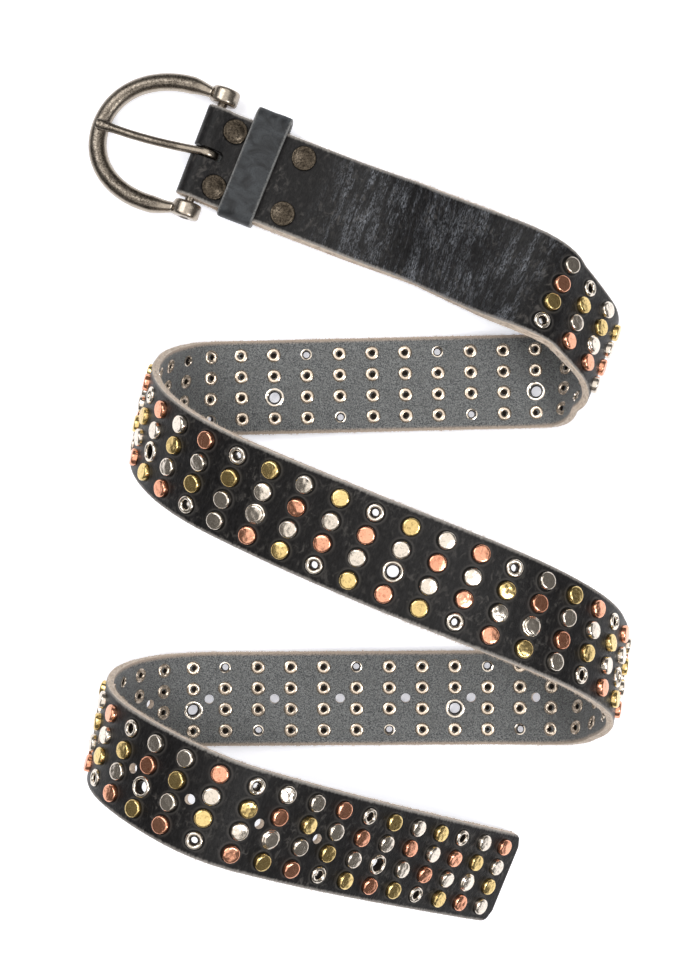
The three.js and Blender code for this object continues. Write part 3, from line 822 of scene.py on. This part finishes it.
# Keeper. A band of the same leather, 15.5 mm wide, wrapped once round both layers of the folded end
# and closed in a loop. It is slack on the first row's side and rubbed grey all over.
keeper_start = 14.2
keeper_width = 15.5
keeper_thickness = 2.5
keeper_slack = 4.2
keeper_headroom = 0.6
keeper_clearance = 0.3
keeper_corner = 3.2
keeper_skew = 0.015
keeper_cells = (14, 150)

buckle_end = Matrix((
    pin_turned @ Vector((1, 0, 0)), -(pin_turned @ Vector((0, 0, 1))), pin_turned @ Vector((0, 1, 0))
)).transposed().to_4x4()
buckle_end = Matrix.Translation(pin_place * MM) @ buckle_end @ Matrix.Scale(MM, 4)

half_thickness = keeper_thickness / 2
loop_low = (
    -strap_width / 2 - keeper_clearance - half_thickness,
    -strap_thickness - keeper_clearance - half_thickness,
)
loop_high = (
    strap_width / 2 + keeper_slack + half_thickness,
    strap_thickness + keeper_headroom + half_thickness,
)
straight_y = loop_high[0] - loop_low[0] - 2 * keeper_corner
straight_z = loop_high[1] - loop_low[1] - 2 * keeper_corner
loop_length = 2 * straight_y + 2 * straight_z + 2 * math.pi * keeper_corner


def loop_at(s):
    """A point (y, z) on the keeper's middle line and the way out of it, at a length round the loop."""
    y, z = loop_low[0] + keeper_corner, loop_low[1]
    heading = 0.0
    for length in (straight_y, straight_z, straight_y, straight_z):
        if s <= length:
            return y + s * math.cos(heading), z + s * math.sin(heading), heading - math.pi / 2
        s -= length
        y += length * math.cos(heading)
        z += length * math.sin(heading)
        centre = (y - keeper_corner * math.sin(heading), z + keeper_corner * math.cos(heading))
        quarter = keeper_corner * math.pi / 2
        angle = heading - math.pi / 2 + min(s, quarter) / keeper_corner
        y = centre[0] + keeper_corner * math.cos(angle)
        z = centre[1] + keeper_corner * math.sin(angle)
        if s <= quarter:
            return y, z, angle
        s -= quarter
        heading += math.pi / 2
    return loop_low[0] + keeper_corner, loop_low[1], -math.pi / 2


bpy.ops.object.select_all(action="DESELECT")
bpy.ops.mesh.primitive_grid_add(x_subdivisions=keeper_cells[0], y_subdivisions=keeper_cells[1], size=2)
keeper = bpy.context.object
keeper.name = "keeper_band"
edit(keeper)
bpy.ops.mesh.extrude_region_move(TRANSFORM_OT_translate={"value": (0, 0, -keeper_thickness)})
bpy.ops.mesh.select_all(action="DESELECT")
leave_edit()
for polygon in keeper.data.polygons:
    polygon.select = abs(polygon.center.y) > 0.999
bpy.ops.object.mode_set(mode="EDIT")
bpy.ops.mesh.delete(type="FACE")
leave_edit()
shape = vertices_of(keeper.data)
side = np.sign(shape[:, 2] + half_thickness)
flat_keeper = np.column_stack((
    np.sin(shape[:, 0] * math.pi / 2) * keeper_width / 2,
    shape[:, 1] * loop_length / 2,
    side * half_thickness,
))
near_edge = np.clip((np.abs(flat_keeper[:, 0]) - keeper_width / 2 + 0.7) / 0.7, 0, 1)
flat_keeper[:, 2] = side * (half_thickness - 0.7 * (1 - np.sqrt(1 - near_edge ** 2)))
wrapped = []
for x, s, z in flat_keeper:
    y, up, angle = loop_at((s + loop_length / 2) % loop_length)
    sag = 0.25 * noise.noise((0.16 * x, 0.08 * s, 3))
    y += (z + sag) * math.cos(angle)
    up += (z + sag) * math.sin(angle)
    wrapped.append(buckle_end @ Vector((keeper_start + keeper_width / 2 + x + keeper_skew * y, y, up)))
kept = keeper.data.attributes.new("flat", "FLOAT_VECTOR", "POINT")
kept.data.foreach_set("vector", flat_keeper.astype(np.float32).ravel())
keeper.data.vertices.foreach_set("co", np.array(wrapped).ravel())
edit(keeper)
bpy.ops.mesh.remove_doubles(threshold=0.00002)
bpy.ops.mesh.normals_make_consistent(inside=False)
leave_edit()

# The same leather, rubbed grey in streaks, with the black left in its pores and paler edges.
rubbed_leather, tree, shader = new_finish("bridle_leather_rubbed", {"IOR": 1.5, "Specular IOR Level": 0.22})
flat, flat_x, flat_y = flat_millimetres(tree)
pores = noise_of(tree, flat, (1.6, 1.6, 1.6), 4, 0.4)
streaks = noise_of(tree, flat, (0.12, 0.2, 0.2), 5, 0.8)
colour = blend_colours(tree, ramp(tree, streaks, 0.3, 0.68), "#232426", "#46494c")
colour = blend_colours(tree, ramp(tree, pores, 0.36, 0.5, 0.45, 0), colour, "#232529")
edge_reach = calc(tree, "ADD", calc(tree, "ABSOLUTE", flat_x), calc(tree, "MULTIPLY", pores, 2))
pale = ramp(tree, edge_reach, 7.6, 8.7)
colour = blend_colours(tree, calc(tree, "MULTIPLY", pale, 0.7), colour, "#8f8f8e")
tree.links.new(colour, shader.inputs["Base Color"])
tree.links.new(ramp(tree, streaks, 0.3, 0.7, 0.45, 0.7), shader.inputs["Roughness"])
raise_grain(tree, shader, calc(tree, "ADD", calc(tree, "MULTIPLY", pores, 0.4), streaks), 0.25)
keeper.data.materials.append(rubbed_leather)
finish_piece(keeper, "belt", ["keeper"])


# Fold rivets. Four dark nickel rivets hold the folded end: a flat disc with a faint ring on top, a shank
# through both layers and a smaller cap behind. The pair near the pin leans back on the fold's slope.
rivet_pairs = [8.4, 40.2]
rivet_inset = 7.4
front_rivet_tilt = 11.5
front_rivet_lift = 0.85
fold_rivet_profile = [
    (3.9, -4.35), (4.4, -3.6), (4.4, -3.3), (1.6, -3.3), (1.6, 3.3), (5.25, 3.3), (5.3, 3.75), (5.1, 4.15),
    (4.75, 4.3), (4.45, 4.22), (3.6, 4.26), (3.3, 4.4), (0, 4.5),
]

antique_nickel, tree, shader = new_finish("antique_nickel", {"Metallic": 1.0})
place = object_millimetres(tree)
spots = noise_of(tree, place, (1.4, 1.4, 1.4), 4, 0.6)
colour = blend_colours(tree, ramp(tree, spots, 0.35, 0.65), "#544c42", "#2c2721")
tree.links.new(colour, shader.inputs["Base Color"])
tree.links.new(ramp(tree, spots, 0.3, 0.7, 0.24, 0.48), shader.inputs["Roughness"])
raise_grain(tree, shader, spots, 0.02)

rivet_row = strap_width / 2 - rivet_inset
rivet_places = [(x, y) for x in rivet_pairs for y in (rivet_row, -rivet_row)]
for i, (x, y) in enumerate(rivet_places):
    rivet = turn_piece(fold_rivet_profile, 36)
    rivet.name = f"fold_rivet_{i + 1}"
    rivet.data.materials.append(antique_nickel)
    if x == rivet_pairs[0]:
        rivet.data.transform(Matrix.Rotation(math.radians(front_rivet_tilt), 4, "Y"))
        rivet.data.transform(Matrix.Translation((0, 0, front_rivet_lift)))
    rivet.data.transform(buckle_end @ Matrix.Translation((x, y, 0)))
    finish_piece(rivet, "belt", [f"rivet_{i + 1}"])


# Bow. The buckle's horseshoe, cast in zinc and plated in antique silver: a thick round bar that ends
# in a thin neck and a barrel eye on each side. Cast, so its corners are soft and its skin pitted.
bar_radius = 3.9
bow_reach = 46.5
bow_shoulder = 5.4
bow_skew = 3.2
bow_swing = 2
bow_drop = 2.7
neck_share = 0.5
neck_length = 6
eye_radius = 6.1
eye_length = 7
eye_gap = 1.9
pin_bore = 2.3
eye_middle = strap_width / 2 + eye_gap + eye_length / 2
voxel = 0.42

swing = Matrix.Rotation(math.radians(bow_swing), 4, "Z") @ Matrix.Rotation(math.radians(-bow_drop), 4, "Y")
buckle = buckle_end @ swing


def lean_over(piece):
    """Leans a buckle piece towards the last row, more the further it reaches."""
    shape = vertices_of(piece.data)
    shape[:, 1] += bow_skew * np.minimum(shape[:, 0], 0) / bow_reach
    piece.data.vertices.foreach_set("co", shape.ravel())


def bend_bar(name, knots, thickness):
    """A bar along a smooth curve. A knot is its place and its handle's way and reach on each side."""
    bpy.ops.object.select_all(action="DESELECT")
    bpy.ops.curve.primitive_bezier_curve_add()
    bar = bpy.context.object
    bar.name = name
    bar.data.dimensions = "3D"
    bar.data.bevel_depth = thickness
    bar.data.bevel_resolution = 6
    bar.data.use_fill_caps = True
    bar.data.resolution_u = 8
    spline = bar.data.splines[0]
    spline.bezier_points.add(len(knots) - 2)
    for point, (place, before, after) in zip(spline.bezier_points, knots):
        point.handle_left_type = point.handle_right_type = "FREE"
        point.co = place
        point.handle_left = before
        point.handle_right = after
    bpy.ops.object.mode_set(mode="EDIT")
    bpy.ops.curve.select_all(action="SELECT")
    bpy.ops.curve.subdivide(number_cuts=5)
    bpy.ops.object.mode_set(mode="OBJECT")
    return bar


def barrel(name, y, radius, length):
    """A short drum across the strap with rounded rims."""
    bpy.ops.object.select_all(action="DESELECT")
    bpy.ops.mesh.primitive_cylinder_add(
        vertices=48, radius=radius, depth=length, location=(0, y, 0), rotation=(math.pi / 2, 0, 0)
    )
    bpy.ops.object.transform_apply()
    drum = bpy.context.object
    drum.name = name
    apply_modifier(drum, "BEVEL", {"width": 1.3, "segments": 4, "limit_method": "ANGLE"})
    return drum


def cast(piece, size, pitting):
    """Fuses a piece's parts as a casting: one skin, soft corners and shallow pits."""
    apply_modifier(piece, "REMESH", {"mode": "VOXEL", "voxel_size": size})
    apply_modifier(piece, "SMOOTH", {"factor": 0.5, "iterations": 5})
    shape = vertices_of(piece.data)
    ways = np.empty(len(piece.data.vertices) * 3)
    piece.data.vertices.foreach_get("normal", ways)
    dips = [noise.noise(Vector(p) * 0.4) + 0.6 * noise.noise(Vector(p) * 1.1) for p in shape]
    shape += ways.reshape(-1, 3) * (pitting * np.array(dips))[:, None]
    piece.data.vertices.foreach_set("co", shape.ravel())


def mark_rubbed_and_sheen(piece):
    """Keeps how much lighter each point is made: on the sides turned away from the buckle's front, a painted
    reflection of the pale room, and near the pin, where the necks are rubbed of patina and the eyes are
    lightened as painted highlight.
    """
    ways = np.empty(len(piece.data.vertices) * 3)
    piece.data.vertices.foreach_get("normal", ways)
    shape = vertices_of(piece.data)
    sides = np.clip((0.82 - ways.reshape(-1, 3)[:, 2]) / 0.4, 0, 1)
    near_pin = np.clip((shape[:, 0] + eye_radius + neck_length + 1) / 3, 0, 1)
    rubbed = piece.data.attributes.new("rubbed", "FLOAT", "POINT")
    rubbed.data.foreach_set("value", np.maximum(sides, 0.75 * near_pin).astype(np.float32))


def bore_eye(piece, length):
    bpy.ops.object.select_all(action="DESELECT")
    bpy.ops.mesh.primitive_cylinder_add(
        vertices=32, radius=pin_bore, depth=length, rotation=(math.pi / 2, 0, 0)
    )
    bpy.ops.object.transform_apply()
    drill = bpy.context.object
    apply_modifier(piece, "BOOLEAN", {"operation": "DIFFERENCE", "solver": "EXACT", "object": drill})
    bpy.data.objects.remove(drill)


first_eye = Vector((-eye_radius + 2, eye_middle, 0))
last_eye = Vector((-eye_radius + 2, -eye_middle, 0))
apex = Vector((-bow_reach, 0, 0))
shoulder = Vector((-0.54 * bow_reach, eye_middle + bow_shoulder, 0))
crown = Vector((-bow_reach, 0.8 * eye_middle, 0))
mirrored = Vector((1, -1, 1))
bow_bar = bend_bar("buckle_bow", [
    (first_eye, first_eye, shoulder),
    (apex, crown, crown * mirrored),
    (last_eye, shoulder * mirrored, last_eye),
], bar_radius)
for point in bow_bar.data.splines[0].bezier_points:
    from_eye = (min((point.co - first_eye).length, (point.co - last_eye).length) - neck_length) / 5
    share = min(max(from_eye, 0), 1)
    point.radius = neck_share + (1 - neck_share) * share * share * (3 - 2 * share)
bpy.ops.object.convert(target="MESH")
lean_over(bow_bar)
bow = join_all([
    bow_bar, barrel("first_barrel", eye_middle, eye_radius, eye_length),
    barrel("last_barrel", -eye_middle, eye_radius, eye_length),
], "buckle_bow")
cast(bow, voxel, 0.03)
mark_rubbed_and_sheen(bow)
bore_eye(bow, 4 * eye_middle)

# Antique silver over cast zinc: dark patina in the pits, bright near the pin where hands have polished it,
# and lightened on the sides turned from the front as a painted reflection of the pale room.
antique_silver, tree, shader = new_finish("antique_silver", {"Metallic": 1.0})
place = object_millimetres(tree)
pits = noise_of(tree, place, (1.6, 1.6, 1.6), 4, 0.5)
specks = noise_of(tree, place, (3.4, 3.4, 3.4), 2, 0.3)
zones = noise_of(tree, place, (0.1, 0.1, 0.1), 3, 0.4)
# Less patina where rubbed near the pin, and on the sides turned from the front as painted reflection.
rubbed = add_node(tree, "ShaderNodeAttribute", {"attribute_name": "rubbed"})["Fac"]
patina = calc(tree, "MULTIPLY", ramp(tree, pits, 0.28, 0.66, 0.45, 1), ramp(tree, zones, 0.35, 0.6, 0.85, 1))
patina = calc(tree, "MULTIPLY", patina, ramp(tree, rubbed, 0, 1, 1, 0.3))
patina = calc(tree, "MAXIMUM", patina, ramp(tree, specks, 0.54, 0.7, 0, 0.9))
tree.links.new(blend_colours(tree, patina, "#bcb1a3", "#352f29"), shader.inputs["Base Color"])
tree.links.new(ramp(tree, patina, 0, 1, 0.22, 0.36), shader.inputs["Roughness"])
raise_grain(tree, shader, calc(tree, "SUBTRACT", 1.0, patina), 0.015)
bow.data.materials.append(antique_silver)
bow.data.transform(buckle)
finish_piece(bow, "buckle_bow", ["bow"], 60)


# Pin. A plain steel cross bar through the bow's eyes, the fold and the prong, with peened ends.
pin_proud = 0.4
pin_length = 2 * (eye_middle + eye_length / 2 + pin_proud)
bpy.ops.object.select_all(action="DESELECT")
bpy.ops.mesh.primitive_cylinder_add(
    vertices=32, radius=pin_radius, depth=pin_length, rotation=(math.pi / 2, 0, 0)
)
bpy.ops.object.transform_apply()
pin = bpy.context.object
pin.name = "buckle_pin"
apply_modifier(pin, "BEVEL", {"width": 0.6, "segments": 4, "limit_method": "ANGLE"})
pin.data.materials.append(antique_silver)
pin.data.transform(buckle)
finish_piece(pin, "buckle_bow", ["pin"])


# Prong. A bar cast with its eye, slightly arched, that ends in a flattened oval tip on the bow.
prong_radius = 1.9
prong_eye_radius = 5.8
prong_arch = 0.9
prong_sway = 1.4
prong_overhang = 2.4
tip_height = 1.4
tip_width = 2.3
rest_gap = 0.3

rise = prong_eye_radius - prong_radius
landing = bar_radius + rest_gap + tip_height
root = Vector((1, 0, rise))
middle = Vector((-0.5 * bow_reach, 0, landing + 0.7))
tip = Vector((-bow_reach - prong_overhang + 1.2, 0, landing - 0.2))
reach = Vector((0.2 * bow_reach, 0, 0))
prong_bar = bend_bar("buckle_prong", [
    (root, root, root - reach + Vector((0, 0, prong_arch))),
    (middle, middle + reach, middle - reach),
    (tip, tip + reach, tip),
], prong_radius)
bpy.ops.object.convert(target="MESH")
shape = vertices_of(prong_bar.data)
flatter = np.clip((-shape[:, 0] - 0.82 * bow_reach) / (0.14 * bow_reach), 0, 1)
flatter = flatter * flatter * (3 - 2 * flatter)
tapered = np.clip((-shape[:, 0] - bow_reach) / prong_overhang, 0, 1)
round_end = np.sqrt(np.clip(1 - 0.8 * tapered ** 2, 0, 1))
line_height = landing - 0.2
shape[:, 1] *= (1 + flatter * (tip_width / prong_radius - 1)) * round_end
flat_height = line_height + (shape[:, 2] - line_height) * tip_height / prong_radius * round_end
shape[:, 2] = shape[:, 2] * (1 - flatter) + flat_height * flatter
shape[:, 1] -= prong_sway * np.sin(math.pi * np.clip(-shape[:, 0] / bow_reach, 0, 1))
prong_bar.data.vertices.foreach_set("co", shape.ravel())
lean_over(prong_bar)
prong = join_all([prong_bar, barrel("prong_eye", 0, prong_eye_radius, 2 * prong_radius)], "buckle_prong")
cast(prong, 0.3, 0.02)
mark_rubbed_and_sheen(prong)
bore_eye(prong, 4 * prong_radius)
prong.data.materials.append(antique_silver)
prong.data.transform(buckle)
finish_piece(prong, "buckle_prong", ["prong"], 60)
